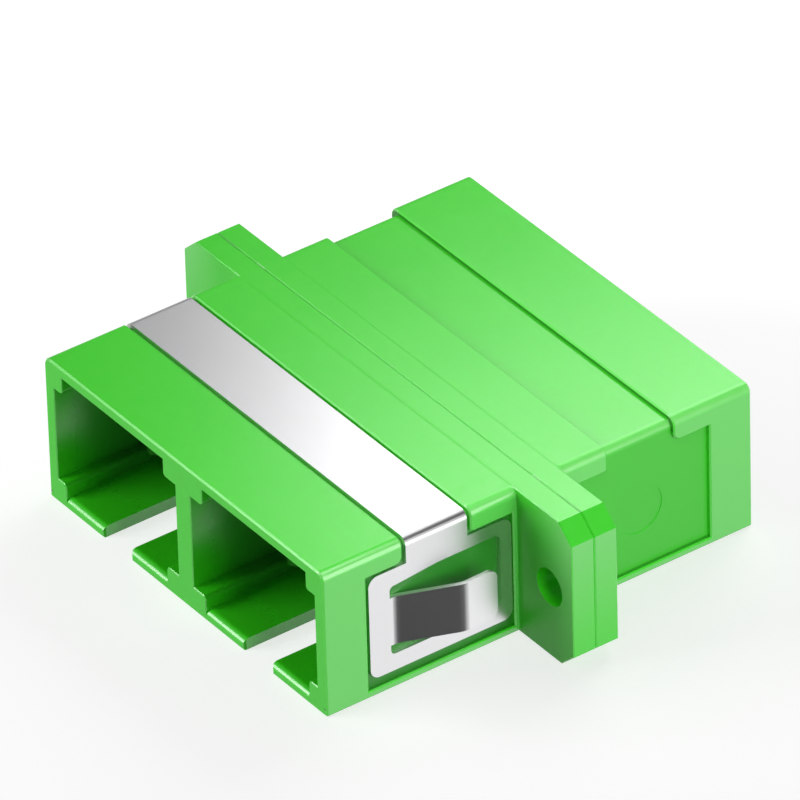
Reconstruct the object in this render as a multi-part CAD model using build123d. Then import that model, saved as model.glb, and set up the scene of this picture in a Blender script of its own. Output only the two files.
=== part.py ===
from build123d import *
import os

# Duplex SC fibre optic adapter, in millimetres.
# X runs across the two ports, Y along the fibres and Z up, with the front ports at -Y.
# The origin is the middle of the weld line between the halves, on the flat underside.

# Ports
port_pitch = 12.7
guide_width = 9.2          # clear width between the guide ribs
clear_height = 7.7         # floor to ceiling
outer_rib_width = 0.75     # ribs along the housing's sides
divider_thickness = 1.35   # wall between the two ports
upper_rib_height = 1.05
lower_rib_height = 0.85
rib_corner_radius = 0.25
mouth_bevel = 0.05
lead_in_radius = 0.4       # rounding of the floor's front edge

# Key slots in the floor
key_slot_width = 2.5
key_slot_length = 7.2
key_slot_radius = 0.3
key_mouth_radius = 0.2

# Housing walls and outline
half_length = 13.8
side_wall = 0.8
floor_thickness = 0.7
ceiling_thickness = 0.65
edge_radius = 0.5          # long upper edges
foot_radius = 0.15         # long lower edges
edge_break = 0.1
weld_chamfer = 0.07        # makes the fine seam line between the halves

# Flange ears
ear_reach = 4.75
flange_half_thickness = 1.45
ear_edge_break = 0.05
ear_corner_across = 1.1
ear_corner_up = 1.0
screw_hole_radius = 1.1
screw_hole_inset = 2.0     # hole centre from the ear's outer end
screw_hole_drop = 0.125    # hole centre below the ear's mid-height

# Groove and side recesses that hold the clip
clip_thickness = 0.25
clip_bend_radius = 0.25    # inside the bends beside the strap
clip_sink = 0.02           # how far the clip lies below the housing's faces
strap_width = 3.9
strap_clearance = 0.22
groove_flange_gap = 2.95   # raised part between groove and flange
recess_lead = 2.33         # how far the side recess runs ahead of the groove
recess_flange_rim = 0.25
recess_floor_rim = 0.45
recess_drop = 1.42         # recess top below the housing's top
seat_edge_break = 0.08
band_corner_radius = 0.45
shoulder_corner_radius = 0.2
ejector_mark_radius = 1.5
ejector_mark_depth = 0.04
ejector_mark_y = 6.6
ejector_mark_z = 4.1

# Side plates of the clip
plate_clearance = 0.13
plate_bottom = 1.09
plate_corner_radius = 0.6
front_bar = 1.32
rear_bar = 0.72
top_bar = 0.8
bottom_bar = 1.03
window_radius = 0.4
window_slope = 0.25        # how much lower the window's top is above the tongue's root

# Spring tongues of the clip
tongue_height = 3.0
tongue_gap = 0.6           # below the tongue
tongue_root_relief = 0.42  # length of the slots beside the tongue's root
relief_radius = 0.3        # corners of those slots
tongue_run = 3.4           # root to crest, along Y
tongue_rise = 1.33         # crest out from the plate
tongue_end_run = 2.1
tongue_end_return = 0.05
tongue_bend_radius = 1.2
tongue_corner_radius = 0.5

# Alignment sleeves
sleeve_bore_radius = 1.25
sleeve_wall = 0.35
sleeve_length = 11.4
sleeve_slit = 0.5
sleeve_end_chamfer = 0.1

# Latch holders
holder_plate_thickness = 1.3
holder_plate_clearance = 0.1
seat_clearance = 0.05
sleeve_play = 0.05
sleeve_end_play = 0.1
tube_wall = 0.65
tube_lip_length = 0.6
tube_lip_overlap = 0.15    # how far the lip covers the sleeve's end face
tube_lead_in = 0.25
arm_thickness = 0.8
arm_inner_x = 3.65
arm_height = 5.2
arm_reach = 9.0
arm_root_radius = 0.3
hook_depth = 0.7
hook_length = 0.6
hook_ramp = 0.6
hook_tip_width = 0.3
hook_tip_bevel = 0.5
pin_radius = 0.4
pin_height = 0.6
pin_fit = 0.05
pin_edge_distance = 1.05

# Sizes that follow from the ones above
outer_reach = guide_width / 2 + outer_rib_width     # port's axis to its outer wall
inner_reach = (port_pitch - divider_thickness) / 2  # port's axis to the divider
body_width = port_pitch + 2 * outer_reach + 2 * side_wall
body_height = floor_thickness + clear_height + ceiling_thickness
half_width = body_width / 2
ceiling_z = floor_thickness + clear_height
axis_z = floor_thickness + clear_height / 2
flange_width = body_width + 2 * ear_reach
screw_hole_x = flange_width / 2 - screw_hole_inset
screw_hole_z = body_height / 2 - screw_hole_drop
recess_depth = clip_thickness + clip_sink
groove_width = strap_width + 2 * strap_clearance
groove_rear_y = -flange_half_thickness - groove_flange_gap
groove_front_y = groove_rear_y - groove_width
recess_front_y = groove_front_y - recess_lead
recess_rear_y = -flange_half_thickness - recess_flange_rim
recess_top_z = body_height - recess_drop
shoulder_y = -holder_plate_thickness - seat_clearance
sleeve_outer_radius = sleeve_bore_radius + sleeve_wall
tube_bore_radius = sleeve_outer_radius + sleeve_play
port_sides = (-1, 1)


def rectangle(x_low, x_high, y_low, y_high):
    """A rectangle given by its limits in the sketch's own axes."""
    centre = Pos((x_low + x_high) / 2, (y_low + y_high) / 2)
    return centre * Rectangle(x_high - x_low, y_high - y_low)


def along_y(outline, y_start, y_end):
    """Extrude an outline drawn across the adapter from one Y to another."""
    plane = Plane((0, y_start, 0), x_dir=(1, 0, 0), z_dir=(0, -1, 0))
    return extrude(plane * outline, amount=y_end - y_start, dir=(0, 1, 0))


def along_x(outline, x_start, x_end):
    """Extrude an outline drawn in side view from one X to another."""
    plane = Plane((x_start, 0, 0), x_dir=(0, 1, 0), z_dir=(1, 0, 0))
    return extrude(plane * outline, amount=x_end - x_start, dir=(1, 0, 0))


def along_z(outline, z_start, z_end):
    """Extrude an outline drawn in plan from one Z to another."""
    return extrude(Pos(0, 0, z_start) * outline, amount=z_end - z_start, dir=(0, 0, 1))


def corners_near(outline, points):
    """The outline's corners that lie at the given points."""
    found = []
    for x, y in points:
        found.append(min(outline.vertices(), key=lambda v: (v.X - x) ** 2 + (v.Y - y) ** 2))
    return found


def housing_section(inset):
    """Cross-section of the housing, with its sides and top set in by one distance."""
    side = half_width - inset
    top = body_height - inset
    outline = rectangle(-side, side, 0, top)
    outline = fillet(corners_near(outline, [(-side, top), (side, top)]), edge_radius)
    return fillet(corners_near(outline, [(-side, 0), (side, 0)]), foot_radius)


def port_section():
    """Clear section of the right-hand port, with a guide rib in each corner."""
    guide = guide_width / 2
    upper = ceiling_z - upper_rib_height
    lower = floor_thickness + lower_rib_height
    outline = rectangle(-inner_reach, outer_reach, floor_thickness, ceiling_z)
    for rib_span in ((-inner_reach, -guide), (guide, outer_reach)):
        outline -= rectangle(*rib_span, upper, ceiling_z)
        outline -= rectangle(*rib_span, floor_thickness, lower)
    rib_corners = [(side * guide, level) for side in port_sides for level in (lower, upper)]
    return fillet(corners_near(outline, rib_corners), rib_corner_radius)


def flange_plate():
    """Full-width plate whose two ears stick out beside the housing."""
    reach = flange_width / 2
    inner = reach - ear_corner_across
    outline = make_face(Polyline(
        (-reach, ear_corner_up), (-inner, 0), (inner, 0), (reach, ear_corner_up),
        (reach, body_height - ear_corner_up), (inner, body_height),
        (-inner, body_height), (-reach, body_height - ear_corner_up), close=True))
    plate = along_y(outline, -flange_half_thickness, 0)
    plate = chamfer(plate.faces().sort_by(Axis.Y)[0].edges(), ear_edge_break)
    return chamfer(plate.faces().sort_by(Axis.Y)[-1].edges(), weld_chamfer)


def port_cavity():
    """Space of the right-hand port, from its mouth to the weld line, centred on x = 0."""
    channel = along_y(port_section(), -half_length, shoulder_y)
    seat_section = rectangle(-inner_reach, outer_reach, floor_thickness, ceiling_z)
    seat = along_y(seat_section, shoulder_y, 0)
    return channel + seat


def floor_lead_in():
    """Material taken off the front edge of a port's floor to round it."""
    y_end = -half_length + lead_in_radius
    z_low = floor_thickness - lead_in_radius
    corner = rectangle(-half_length, y_end, z_low, floor_thickness)
    corner -= Pos(y_end, z_low) * Circle(lead_in_radius)
    return along_x(corner, -guide_width / 2, guide_width / 2)


def key_slot():
    """Slot through a port's floor for the plug's key, flared at the mouth."""
    half_slot = key_slot_width / 2
    end_y = -half_length + key_slot_length
    slot = rectangle(-half_slot, half_slot, -half_length, end_y)
    slot = fillet(corners_near(slot, [(-half_slot, end_y), (half_slot, end_y)]), key_slot_radius)
    flare = half_slot + key_mouth_radius
    mouth = rectangle(-flare, flare, -half_length, -half_length + key_mouth_radius)
    for side in port_sides:
        mouth -= Pos(side * flare, -half_length + key_mouth_radius) * Circle(key_mouth_radius)
    return along_z(slot + mouth, 0, floor_thickness)


def side_recess():
    """Side-view outline of the recess for a side plate, open upwards at the groove."""
    top = recess_top_z
    outline = rectangle(recess_front_y, recess_rear_y, recess_floor_rim, top)
    outline += rectangle(groove_front_y, groove_rear_y, top, body_height)
    outline = fillet(corners_near(outline, [(groove_front_y, top)]), band_corner_radius)
    return fillet(corners_near(outline, [(groove_rear_y, top)]), shoulder_corner_radius)


def clip_seat():
    """Space cut away for the clip: a groove over the top and a recess in each side."""
    margin = half_width + recess_depth
    outline = rectangle(-margin, margin, recess_floor_rim, body_height + recess_depth)
    outline -= housing_section(recess_depth)
    seat = along_y(outline, groove_front_y, groove_rear_y)
    for side in port_sides:
        seat += along_x(side_recess(), side * (half_width - recess_depth), side * margin)
    return seat


def cut_with_broken_rim(body, tool, size):
    """Cut the tool out of the body and break the edges that the cut leaves on its skin."""
    cut = body - tool
    skin = body.shell()
    rim = [edge for edge in new_edges(body, tool, combined=cut)
           if Vertex(edge @ 0.5).distance_to(skin) < size / 100]
    return chamfer(rim, size)


def front_housing():
    """One moulded half: two ports, ears, and the seats for clip and latch holders."""
    block = along_y(housing_section(0), -half_length, -flange_half_thickness / 2)
    block = chamfer(block.faces().sort_by(Axis.Y)[0].edges(), edge_break)
    housing = cut_with_broken_rim(block + flange_plate(), clip_seat(), seat_edge_break)
    cavity = Pos(port_pitch / 2, 0, 0) * port_cavity()
    housing -= cavity
    housing -= mirror(cavity, about=Plane.YZ)
    mouth_edges = []
    for wire in housing.faces().sort_by(Axis.Y)[0].inner_wires():
        mouth_edges += wire.edges()
    housing = chamfer(mouth_edges, mouth_bevel)
    for side in port_sides:
        centre = Pos(side * port_pitch / 2, 0, 0)
        housing -= centre * floor_lead_in()
        housing -= centre * key_slot()
    mark = Pos(-ejector_mark_y, ejector_mark_z) * Circle(ejector_mark_radius)
    for side in port_sides:
        floor_x = side * (half_width - recess_depth)
        housing -= along_x(mark, floor_x - side * ejector_mark_depth, floor_x)
        hole = Pos(side * screw_hole_x, screw_hole_z) * Circle(screw_hole_radius)
        housing -= along_y(hole, -flange_half_thickness, 0)
    return housing


def strap_section(growth):
    """Cross-section inside the strap's bends, grown outwards by one distance."""
    side = half_width - recess_depth + growth
    top = body_height - recess_depth + growth
    outline = rectangle(-side, side, 0, top)
    bends = corners_near(outline, [(-side, top), (side, top)])
    return fillet(bends, clip_bend_radius + growth)


def clip_strap():
    """Strap over the housing with a neck down each side, bent round the groove's corners."""
    strip = strap_section(clip_thickness) - strap_section(0)
    neck_end = recess_top_z - top_bar
    strip -= rectangle(-half_width, half_width, 0, neck_end)
    y_start = groove_front_y + strap_clearance
    return along_y(strip, y_start, y_start + strap_width)


def plate_limits():
    """Front, rear and top limits of a side plate inside its recess."""
    front = recess_front_y + plate_clearance
    rear = recess_rear_y - plate_clearance
    top = recess_top_z - plate_clearance
    return front, rear, top


def plate_outline():
    """Side-view outline of a side plate with the window round its tongue."""
    front, rear, top = plate_limits()
    outline = rectangle(front, rear, plate_bottom, top)
    outline = fillet(outline.vertices(), plate_corner_radius)
    root = front + front_bar
    window_rear = rear - rear_bar
    window_top = top - top_bar
    window_low = plate_bottom + bottom_bar
    tongue_low = window_low + tongue_gap
    tongue_top = tongue_low + tongue_height
    relief = root + tongue_root_relief
    slot_top = window_top - window_slope
    slope_end = (groove_front_y + groove_rear_y) / 2
    window = make_face(Polyline(
        (root, tongue_top), (root, slot_top), (relief, slot_top), (slope_end, window_top),
        (window_rear, window_top), (window_rear, window_low), (root, window_low),
        (root, tongue_low), (relief, tongue_low), (relief, tongue_top), close=True))
    ends = [(window_rear, window_top), (window_rear, window_low)]
    window = fillet(corners_near(window, ends), window_radius)
    slot_ends = [(root, slot_top), (root, window_low)]
    return outline - fillet(corners_near(window, slot_ends), relief_radius)


def spring_tongue():
    """Tongue of the right-hand side plate: it slopes outwards from its root, then turns in."""
    front, _, _ = plate_limits()
    root = front + front_bar + tongue_root_relief
    start = root - tongue_root_relief - front_bar / 2
    plate_x = half_width - recess_depth + clip_thickness / 2
    crest_x = plate_x + tongue_rise
    path = FilletPolyline(
        (plate_x, start), (plate_x, root), (crest_x, root + tongue_run),
        (crest_x - tongue_end_return, root + tongue_run + tongue_end_run),
        radius=tongue_bend_radius)
    low = plate_bottom + bottom_bar + tongue_gap
    tongue = along_z(trace(path, clip_thickness), low, low + tongue_height)
    tip_face = tongue.faces().sort_by(Axis.Y)[-1]
    tip_corners = tip_face.edges().filter_by(Axis.Z, reverse=True).sort_by(Axis.Z)
    tip_corners = [tip_corners[0], tip_corners[-1]]
    return fillet(tip_corners, tongue_corner_radius)


def mounting_clip():
    """Clip folded from one strip of spring steel: strap, two side plates and their tongues."""
    floor_x = half_width - recess_depth
    plate = along_x(plate_outline(), floor_x, floor_x + clip_thickness)
    side = plate + spring_tongue()
    return clip_strap() + side + mirror(side, about=Plane.YZ)


def latch_arm():
    """Latch arm on the right of a holder, with the hook that catches the plug."""
    outer = arm_inner_x + arm_thickness
    nose = arm_inner_x - hook_depth
    plate = -holder_plate_thickness
    nose_front = -arm_reach + hook_ramp
    catch = nose_front + hook_length
    tip_outer = outer - hook_tip_bevel
    tip_inner = tip_outer - hook_tip_width
    arm = make_face(Polyline(
        (arm_inner_x, plate), (arm_inner_x, catch), (nose, catch), (nose, nose_front),
        (tip_inner, -arm_reach), (tip_outer, -arm_reach), (outer, -arm_reach + hook_tip_bevel),
        (outer, plate), close=True))
    pad = 2 * arm_root_radius
    arm += rectangle(arm_inner_x - pad, outer + pad, plate, plate / 2)
    arm = fillet(corners_near(arm, [(arm_inner_x, plate), (outer, plate)]), arm_root_radius)
    return along_z(arm, axis_z - arm_height / 2, axis_z + arm_height / 2)


def latch_holder():
    """Inner moulding of one channel's front half, centred on x = 0."""
    half_plate = outer_reach - holder_plate_clearance
    plate = rectangle(-half_plate, half_plate, floor_thickness + holder_plate_clearance,
                      ceiling_z - holder_plate_clearance)
    holder = along_y(plate, -holder_plate_thickness, 0)
    bore_end = -sleeve_length / 2 - sleeve_end_play
    tube_end = bore_end - tube_lip_length
    tube_radius = tube_bore_radius + tube_wall
    lip_radius = sleeve_outer_radius - tube_lip_overlap
    axis = Pos(0, axis_z)
    holder += along_y(axis * Circle(tube_radius), tube_end, -holder_plate_thickness / 2)
    holder += latch_arm() + mirror(latch_arm(), about=Plane.YZ)
    holder -= along_y(axis * Circle(tube_bore_radius), bore_end, 0)
    holder -= along_y(axis * Circle(lip_radius), tube_end, bore_end)
    lip_edges = holder.edges().filter_by(GeomType.CIRCLE)
    lip_edges = lip_edges.filter_by_position(Axis.Y, tube_end - 0.01, tube_end + 0.01)
    holder = chamfer(lip_edges, tube_lead_in)
    pin_x = half_plate - pin_edge_distance
    pin_z = ceiling_z - holder_plate_clearance - pin_edge_distance
    holder += along_y(Pos(pin_x, pin_z) * Circle(pin_radius), -holder_plate_thickness / 2, pin_height)
    return holder - along_y(Pos(-pin_x, pin_z) * Circle(pin_radius + pin_fit), -pin_height - pin_fit, 0)


def alignment_sleeve():
    """Split ceramic sleeve that lines up the two ferrules of one channel."""
    half = sleeve_length / 2
    ring = Circle(sleeve_outer_radius) - Circle(sleeve_bore_radius)
    tube = along_y(ring, -half, half)
    ends = tube.edges().filter_by(GeomType.CIRCLE)
    tube = chamfer(ends, sleeve_end_chamfer)
    slit = rectangle(-sleeve_slit / 2, sleeve_slit / 2, 0, sleeve_outer_radius * 2)
    return Pos(0, 0, axis_z) * (tube - along_y(slit, -half, half))


def build_nodes():
    """Every separate piece under its own name."""
    turned = Rot(0, 0, 180)
    front = front_housing()
    nodes = {
        "front_housing": front,
        "rear_housing": turned * front,
        "mounting_clip": mounting_clip(),
    }
    holder = latch_holder()
    sleeve = alignment_sleeve()
    for side, name in zip(port_sides, ("left", "right")):
        channel = Pos(side * port_pitch / 2, 0, 0)
        nodes["front_latch_holder_" + name] = channel * holder
        nodes["rear_latch_holder_" + name] = channel * turned * holder
        nodes["alignment_sleeve_" + name] = channel * sleeve
    return nodes


os.makedirs("parts", exist_ok=True)
for node_name, solid in build_nodes().items():
    export_step(solid, os.path.join("parts", node_name + ".step"))
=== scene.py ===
import math

import bpy
from mathutils import Matrix, Vector

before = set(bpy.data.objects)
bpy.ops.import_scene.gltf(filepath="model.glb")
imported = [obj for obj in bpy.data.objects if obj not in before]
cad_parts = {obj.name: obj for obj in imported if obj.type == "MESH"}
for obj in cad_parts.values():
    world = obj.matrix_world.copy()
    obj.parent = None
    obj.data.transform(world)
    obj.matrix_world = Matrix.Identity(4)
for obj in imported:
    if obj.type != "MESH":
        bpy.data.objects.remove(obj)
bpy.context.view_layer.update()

scene = bpy.context.scene
scene.view_settings.view_transform = "Standard"

# Green of the housing and of the holders inside it, each with its deeper shade; the holders'
# greens are darkened as painted shade of the deep ports
HOUSING_GREEN, HOUSING_DEEP = (0.042, 0.65, 0.012, 1), (0.036, 0.61, 0.008, 1)
HOLDER_GREEN_PAINTED_SHADE, HOLDER_DEEP_PAINTED_SHADE = (0.014, 0.23, 0.004, 1), (0.011, 0.19, 0.003, 1)

# Tones of the housing's places: place, share and colour, in the order in which they are laid on;
# apart from the witness seam lines they are painted light, painted shade on hollows and shadowed
# faces and painted highlight on lit faces and edges
PLACE_TONES = (
    ("witness", 0.22, HOUSING_DEEP),
    # Painted sheen: paler green on the outer side faces
    ("side_painted_sheen", 0.75, (0.14, 0.66, 0.12, 1)),
    # Painted highlight: paler green along the long top edges' roundings
    ("long_edge_painted_highlight", 0.6, (0.20, 0.62, 0.17, 1)),
    # Painted shade: dark green on the ledge at the foot of each recess
    ("ledge_painted_shade", 0.7, (0.006, 0.16, 0.001, 1)),
    # Painted shade: dark green on the band steps that face the ends
    ("step_painted_shade", 0.9, (0.006, 0.16, 0.001, 1)),
    # Painted shade: darker green on the ears' top bevels
    ("ear_bevel_painted_shade", 0.5, (0.02, 0.40, 0.008, 1)),
    # Painted shade: darker green on the ears' broad faces
    ("ear_face_painted_shade", 0.5, (0.02, 0.40, 0.005, 1)),
    # Painted shade: darker green on the recess floors
    ("recess", 0.5, (0.02, 0.40, 0.005, 1)),
    # Painted shadow of the clip: near-black green on the recess floor under it
    ("clip_painted_shadow", 1.0, (0.006, 0.23, 0.001, 1)),
    # Painted shade: dark green inside the ports
    ("inside", 0.75, (0.012, 0.20, 0.004, 1)),
    # Painted sheen: paler green on the ears' ends, paler towards the top
    ("ear_end_painted_sheen", 0.75, (0.18, 0.64, 0.16, 1)),
    # Painted light: brighter green on the key slots' side faces
    ("slot_side_painted_light", 0.9, (0.10, 0.78, 0.06, 1)),
)
MATT_ROUGHNESS = 0.22          # added on matt places, and twice inside the ports
WITNESS_DEPTH = 0.00002        # metres

# Places on the housing, in millimetres
PORT_AXIS = 6.35
SLOT_HALF_WIDTH = (1.2, 1.3)
FLANGE_EDGE = (1.41, 1.49)
EAR_FACE = (1.38, 1.5)
RECESS_FLOOR = (12.12, 12.36)
SIDE_FACE = (12.42, 12.6)
BAND_STEP = (8.64, 8.84)

# Reflected cards: direction, where each begins and is full as a cosine, and its brightness
REFLECTED_CARDS = (
    ((0.813, -0.116, -0.572), 0.84, 0.92, 0.0),
    ((-0.667, -0.469, -0.578), 0.80, 0.97, 0.50),
)

# Camera, solved from the part's corners in the photograph
CAMERA_DEGREES = (54.889, 35.332, 1.688)     # azimuth, elevation and roll
CAMERA_DISTANCE = 0.6584
CAMERA_CENTRE = (0, 0, 0.004637)
AIM_PIXELS = (1.60, 38.83)                   # right of and above that centre
PIXELS_PER_METRE = 19038
PICTURE_WIDTH = 800


# Shader building

class Shader:
    """Adds nodes to the tree of one material or world and links them."""

    def __init__(self, owner, surface="Principled BSDF"):
        owner.use_nodes = True
        self.owner = owner
        self.nodes = owner.node_tree.nodes
        self.links = owner.node_tree.links
        self.surface = self.nodes[surface]

    def add(self, kind, settings=None, **inputs):
        """A new node; an input takes a number, a colour or another node's output."""
        node = self.nodes.new(kind)
        for key, value in (settings or {}).items():
            setattr(node, key, value)
        for key, value in inputs.items():
            self.put(node, key.replace("_", " "), value)
        return node

    def put(self, node, key, value):
        """Sets or links the input of that name or number."""
        socket = node.inputs[int(key)] if key.isdigit() else node.inputs[key]
        if isinstance(value, bpy.types.NodeSocket):
            self.links.new(value, socket)
        else:
            socket.default_value = value

    def math(self, operation, *values):
        node = self.add("ShaderNodeMath", {"operation": operation})
        for index, value in enumerate(values):
            self.put(node, str(index), value)
        return node.outputs[0]

    def millimetres(self, stretch=(1, 1, 1)):
        """Object coordinates in millimetres."""
        place = self.add("ShaderNodeTexCoord")
        mapping = self.add("ShaderNodeMapping", Vector=place.outputs["Object"],
                           Scale=[1000 * s for s in stretch])
        return mapping.outputs[0]

    def axes(self, vector):
        """The three parts of a vector."""
        return self.add("ShaderNodeSeparateXYZ", Vector=vector).outputs

    def facing(self):
        """The three parts of the surface's normal."""
        return self.axes(self.add("ShaderNodeTexCoord").outputs["Normal"])

    def noise(self, vector, per_mm, detail, rough=0.5):
        node = self.add("ShaderNodeTexNoise", Vector=vector, Scale=per_mm, Detail=detail)
        node.inputs["Roughness"].default_value = rough
        return node.outputs["Fac"]

    def spread(self, value, low, high, out_low=0.0, out_high=1.0, smooth=False):
        """Maps low to high onto the outer two values, clamped."""
        kind = "SMOOTHSTEP" if smooth else "LINEAR"
        node = self.add("ShaderNodeMapRange", {"interpolation_type": kind})
        for index, item in enumerate((value, low, high, out_low, out_high)):
            self.put(node, str(index), item)
        return node.outputs[0]

    def mix(self, factor, first, second):
        """Mixes two colours; inputs 6 and 7 and output 2 are the node's colour sockets."""
        node = self.add("ShaderNodeMix", {"data_type": "RGBA"})
        self.put(node, "0", factor)
        self.put(node, "6", first)
        self.put(node, "7", second)
        return node.outputs[2]

    def bump(self, height, distance, strength, under=None):
        """Bump of that depth in metres, laid over another one if given."""
        node = self.add("ShaderNodeBump", Height=height, Distance=distance, Strength=strength)
        if under is not None:
            self.links.new(under, node.inputs["Normal"])
        return node.outputs[0]

    def between(self, value, limits, soft=0.03):
        """1 where the value lies between two limits, with soft ends."""
        low, high = limits
        above = self.spread(value, low - soft, low + soft)
        below = self.spread(value, high - soft, high + soft, 1.0, 0.0)
        return self.math("MULTIPLY", above, below)

    def all_of(self, *masks):
        """The product of several masks."""
        product = masks[0]
        for mask in masks[1:]:
            product = self.math("MULTIPLY", product, mask)
        return product


def housing_places(s, at):
    """Masks for the housing's witness seam lines and for the places given painted shade or
    painted highlight, from its millimetres and its normals.
    """
    x, y, up = s.axes(at)
    across = s.math("ABSOLUTE", x)
    along = s.math("ABSOLUTE", y)
    normal_x, normal_y, normal_z = s.facing()
    sideways = s.spread(s.math("ABSOLUTE", normal_x), 0.85, 0.95)
    endways = s.spread(s.math("ABSOLUTE", normal_y), 0.85, 0.95)
    upright = s.spread(normal_z, 0.2, 0.5, smooth=True)
    not_level = s.spread(normal_z, 0.85, 1.0, 1.0, 0.0, smooth=True)
    clip_half = s.spread(y, -1.7, -1.6, 1.0, 0.0)
    beside_slot = s.math("ABSOLUTE", s.math("SUBTRACT", across, PORT_AXIS))
    in_port = s.spread(across, 11.7, 11.8, 1.0, 0.0)
    deep_in = s.spread(along, 9.5, 13.2, 1.0, 0.0, smooth=True)
    # Recess floors, given painted shade
    recess = s.all_of(sideways, s.between(across, RECESS_FLOOR))
    return {
        "witness": s.all_of(s.between(along, FLANGE_EDGE, 0.05), s.spread(up, 8.95, 9.03)),
        "recess": recess,
        # Recess floor under the clip, given the clip's painted shadow
        "clip_painted_shadow": s.all_of(recess, clip_half),
        # Outer side faces, given painted sheen
        "side_painted_sheen": s.all_of(sideways, s.between(across, SIDE_FACE)),
        # Roundings of the long top edges, given painted highlight
        "long_edge_painted_highlight": s.all_of(s.between(across, (11.9, 12.6)), s.spread(up, 8.4, 8.5),
                              upright, not_level),
        # Ledge at the foot of each recess, given painted shade
        "ledge_painted_shade": s.all_of(s.between(across, (12.2, 12.42)), s.between(up, (0.40, 0.50))),
        # Band steps, given painted shade
        "step_painted_shade": s.all_of(endways, s.between(along, BAND_STEP), s.spread(up, 8.0, 8.2)),
        # Key slots' side faces, given painted light
        "slot_side_painted_light": s.all_of(sideways, s.spread(up, 0.68, 0.74, 1.0, 0.0),
                              s.between(beside_slot, SLOT_HALF_WIDTH)),
        # Ears' ends, given painted sheen that grows towards the top
        "ear_end_painted_sheen": s.all_of(s.spread(across, 14.0, 17.2), s.spread(up, 1.5, 8.5),
                            s.math("MAXIMUM", sideways, endways)),
        # Ears' top bevels, given painted shade
        "ear_bevel_painted_shade": s.all_of(s.spread(across, 14.0, 14.5), s.spread(up, 6.5, 7.0),
                              upright, not_level),
        # Ears' broad faces, given painted shade
        "ear_face_painted_shade": s.all_of(endways, s.between(along, EAR_FACE), s.spread(across, 12.5, 12.6)),
        # Inside the ports, given painted shade
        "inside": s.all_of(s.between(up, (0.72, 8.5)), in_port, deep_in),
    }


def moulded_plastic(name, colour, deep_colour, places=None, dull=0.0, specular=1.0):
    """Satin moulded plastic: fine spark-eroded texture and slow flow shading, and with places,
    painted shade and painted highlight in its colour.
    """
    s = Shader(bpy.data.materials.new(name))
    at = s.millimetres()
    flow = s.noise(at, 0.09, 2.0)
    mottle = s.noise(at, 1.4, 4.0, 0.6)
    grain = s.noise(at, 16.0, 2.0)
    tone = s.math("ADD", s.spread(flow, 0.3, 0.7, 0.0, 0.7), s.spread(mottle, 0.3, 0.7, 0.0, 0.3))
    shade = s.mix(tone, deep_colour, colour)
    roughness = s.spread(mottle, 0.3, 0.7, 0.21 + dull, 0.26 + dull)
    normal = s.bump(grain, 0.000004, 0.5)
    if places:
        mask = places(s, at)
        normal = s.bump(mask["witness"], -WITNESS_DEPTH, 0.35, normal)
        # Lays the places' tones into the colour: witness seam lines, then painted shade and
        # painted highlight
        for place, share, place_colour in PLACE_TONES:
            shade = s.mix(s.math("MULTIPLY", mask[place], share), shade, place_colour)
        matt = s.math("MAXIMUM", mask["ear_face_painted_shade"], mask["inside"])
        matt = s.math("ADD", s.math("MAXIMUM", mask["recess"], matt), mask["inside"])
        roughness = s.math("ADD", roughness, s.math("MULTIPLY", matt, MATT_ROUGHNESS))
    s.put(s.surface, "Base Color", shade)
    s.put(s.surface, "Roughness", roughness)
    s.put(s.surface, "Specular IOR Level", specular)
    s.put(s.surface, "Normal", normal)
    return s.owner


def spring_steel(name):
    """Bright rolled strip: fine lines along it, soft cloudy patches, and strap bends darkened as
    a painted dark reflection.
    """
    s = Shader(bpy.data.materials.new(name))
    lines = s.noise(s.millimetres((0.05, 1, 0.05)), 9.0, 2.0)
    grain = s.noise(s.millimetres(), 24.0, 2.0)
    cloud = s.noise(s.millimetres(), 0.25, 2.0)
    tone = s.math("ADD", s.math("MULTIPLY", lines, 0.4), s.math("MULTIPLY", cloud, 0.6))
    shade = s.mix(tone, (0.82, 0.82, 0.83, 1), (0.88, 0.88, 0.89, 1))
    normal_z = s.facing()[2]
    up = s.axes(s.millimetres())[2]
    # Painted dark reflection: near-black along the strap's bends
    bend_painted_reflection = s.all_of(s.spread(up, 8.2, 8.4), s.spread(normal_z, 0.25, 0.5, smooth=True),
                    s.spread(normal_z, 0.8, 0.97, 1.0, 0.0, smooth=True))
    shade = s.mix(s.math("MULTIPLY", bend_painted_reflection, 0.85), shade, (0.10, 0.10, 0.10, 1))
    s.put(s.surface, "Base Color", shade)
    s.put(s.surface, "Metallic", 1.0)
    s.put(s.surface, "Roughness", s.spread(cloud, 0.0, 1.0, 0.28, 0.30))
    s.put(s.surface, "Normal", s.bump(grain, 0.000001, 0.3))
    return s.owner


def ceramic(name):
    """Polished white zirconia with a faint warm tint."""
    s = Shader(bpy.data.materials.new(name))
    cloud = s.noise(s.millimetres(), 0.8, 3.0)
    s.put(s.surface, "Base Color", s.mix(cloud, (0.86, 0.86, 0.82, 1), (0.90, 0.90, 0.88, 1)))
    s.put(s.surface, "Roughness", s.spread(cloud, 0.3, 0.7, 0.10, 0.16))
    s.put(s.surface, "Specular IOR Level", 0.9)
    return s.owner


def dress(material, *names):
    """Gives the named CAD nodes one material."""
    for name in names:
        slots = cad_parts[name].data.materials
        slots.clear()
        slots.append(material)


dress(moulded_plastic("housing_green", HOUSING_GREEN, HOUSING_DEEP, housing_places),
      "front_housing", "rear_housing")
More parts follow.
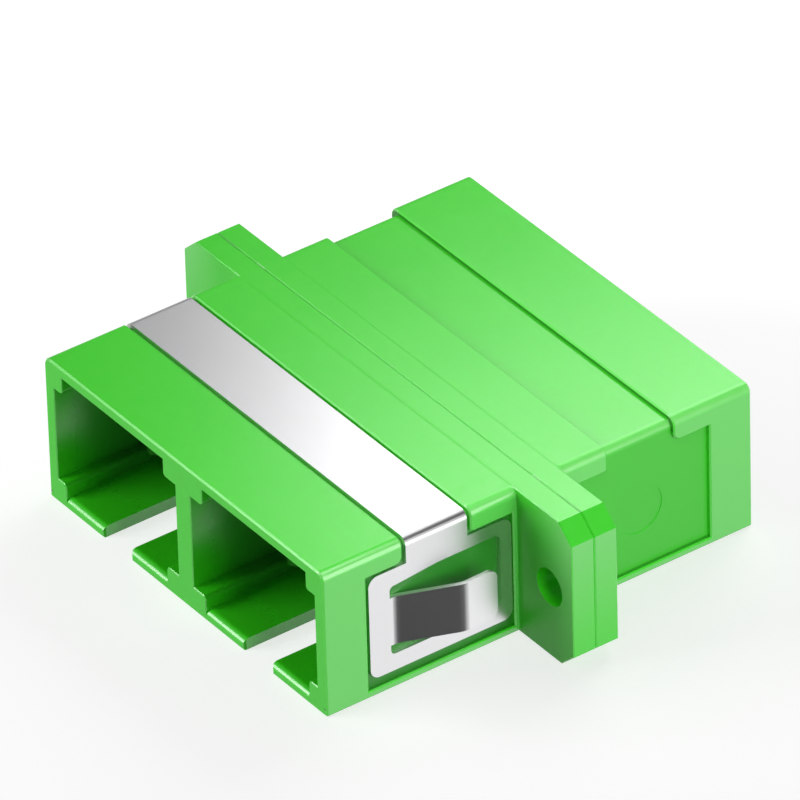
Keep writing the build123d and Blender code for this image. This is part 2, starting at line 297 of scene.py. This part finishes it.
# Holders in a green darkened as painted shade of the deep ports
dress(moulded_plastic("holder_green_painted_shade", HOLDER_GREEN_PAINTED_SHADE, HOLDER_DEEP_PAINTED_SHADE, dull=0.22, specular=0.5),
      "front_latch_holder_left", "front_latch_holder_right",
      "rear_latch_holder_left", "rear_latch_holder_right")
dress(spring_steel("clip_steel"), "mounting_clip")
dress(ceramic("sleeve_white"), "alignment_sleeve_left", "alignment_sleeve_right")


# Floor and world, white to the camera

def background_rays(s):
    """1 for rays that see the background: camera, glossy and transmission rays."""
    path = s.add("ShaderNodeLightPath")
    seen = s.math("MAXIMUM", path.outputs["Is Camera Ray"], path.outputs["Is Glossy Ray"])
    return s.math("MAXIMUM", seen, path.outputs["Is Transmission Ray"])


def pale_floor():
    """Plain floor that takes the object's shadow."""
    s = Shader(bpy.data.materials.new("floor"))
    s.put(s.surface, "Base Color", (0.42, 0.42, 0.42, 1))
    s.put(s.surface, "Roughness", 0.9)
    s.put(s.surface, "Specular IOR Level", 0.0)
    s.put(s.surface, "Emission Color", (1, 1, 1, 1))
    s.put(s.surface, "Emission Strength", s.math("MULTIPLY", background_rays(s), 0.735))
    mesh = bpy.data.meshes.new("floor")
    reach = 1.5
    level = -0.00001
    signs = ((-1, -1), (1, -1), (1, 1), (-1, 1))
    mesh.from_pydata([(x * reach, y * reach, level) for x, y in signs], [], [(0, 1, 2, 3)])
    mesh.materials.append(s.owner)
    floor = bpy.data.objects.new("floor", mesh)
    scene.collection.objects.link(floor)
    floor.visible_glossy = False
    return floor


def soft_world():
    """Even light all round; reflections see a dim room above pale surroundings with two cards."""
    world = bpy.data.worlds.new("studio")
    scene.world = world
    s = Shader(world, "Background")
    direction = s.add("ShaderNodeTexCoord").outputs["Generated"]
    height = s.axes(direction)[2]
    seen = s.spread(height, -0.15, 0.10, 1.08, 0.25, smooth=True)
    for middle, start, full, level in REFLECTED_CARDS:
        card = s.add("ShaderNodeVectorMath", {"operation": "DOT_PRODUCT"})
        s.links.new(direction, card.inputs[0])
        card.inputs[1].default_value = Vector(middle).normalized()
        seen = s.spread(card.outputs["Value"], start, full, seen, level, smooth=True)
    path = s.add("ShaderNodeLightPath")
    reflected = s.math("MAXIMUM", path.outputs["Is Glossy Ray"],
                       path.outputs["Is Transmission Ray"])
    strength = s.spread(reflected, 0.0, 1.0, 0.13, seen)
    strength = s.spread(path.outputs["Is Camera Ray"], 0.0, 1.0, strength, 0.985)
    s.put(s.surface, "Color", (1, 1, 1, 1))
    s.put(s.surface, "Strength", strength)


def soft_box(name, at, size, level, aim=(0, 0, 0.004)):
    """Square area light whose face shows the given brightness."""
    light = bpy.data.lights.new(name, "AREA")
    light.shape = "SQUARE"
    light.size = size
    light.energy = level * math.pi * size * size
    lamp = bpy.data.objects.new(name, light)
    lamp.location = at
    lamp.rotation_mode = "QUATERNION"
    lamp.rotation_quaternion = (Vector(aim) - Vector(at)).to_track_quat("-Z", "Y")
    scene.collection.objects.link(lamp)
    return lamp


def spare(lamp, thing):
    """Keeps a lamp's light off one object."""
    apart = bpy.data.collections.new("dark_to_" + lamp.name)
    apart.objects.link(thing)
    apart.collection_objects[0].light_linking.link_state = "EXCLUDE"
    lamp.light_linking.receiver_collection = apart


floor = pale_floor()
soft_world()
soft_box("rear_box", (-0.039, 0.088, 0.085), 0.09, 3.35, (-0.039, 0.088, 0))
soft_box("front_box", (-0.16, -0.29, 0.105), 0.20, 8.0)
spare(soft_box("side_box", (0.12, 0.01, 0.035), 0.10, 4.2), floor)
spare(soft_box("top_box", (0.024, -0.003, 0.055), 0.03, 4.2, (0.024, -0.003, 0)), floor)


def camera():
    """Camera at the photograph's viewing angle, without shift."""
    azimuth, elevation, roll = (math.radians(degrees) for degrees in CAMERA_DEGREES)
    back = Vector((math.sin(azimuth) * math.cos(elevation),
                   -math.cos(azimuth) * math.cos(elevation), math.sin(elevation)))
    level = Vector((math.cos(azimuth), math.sin(azimuth), 0))
    rise = back.cross(level)
    right = level * math.cos(roll) - rise * math.sin(roll)
    up = level * math.sin(roll) + rise * math.cos(roll)
    centre = Vector(CAMERA_CENTRE)
    place = centre + back * CAMERA_DISTANCE
    aim = centre + (right * AIM_PIXELS[0] + up * AIM_PIXELS[1]) / PIXELS_PER_METRE
    back = (place - aim).normalized()
    right = up.cross(back).normalized()
    up = back.cross(right)
    data = bpy.data.cameras.new("camera")
    data.sensor_width = 36
    data.lens = PIXELS_PER_METRE * CAMERA_DISTANCE / PICTURE_WIDTH * data.sensor_width
    data.clip_start = 0.01
    data.clip_end = 10
    view = bpy.data.objects.new("camera", data)
    view.rotation_mode = "QUATERNION"
    view.rotation_quaternion = Matrix((right, up, back)).transposed().to_quaternion()
    view.location = place
    scene.collection.objects.link(view)
    scene.camera = view


camera()
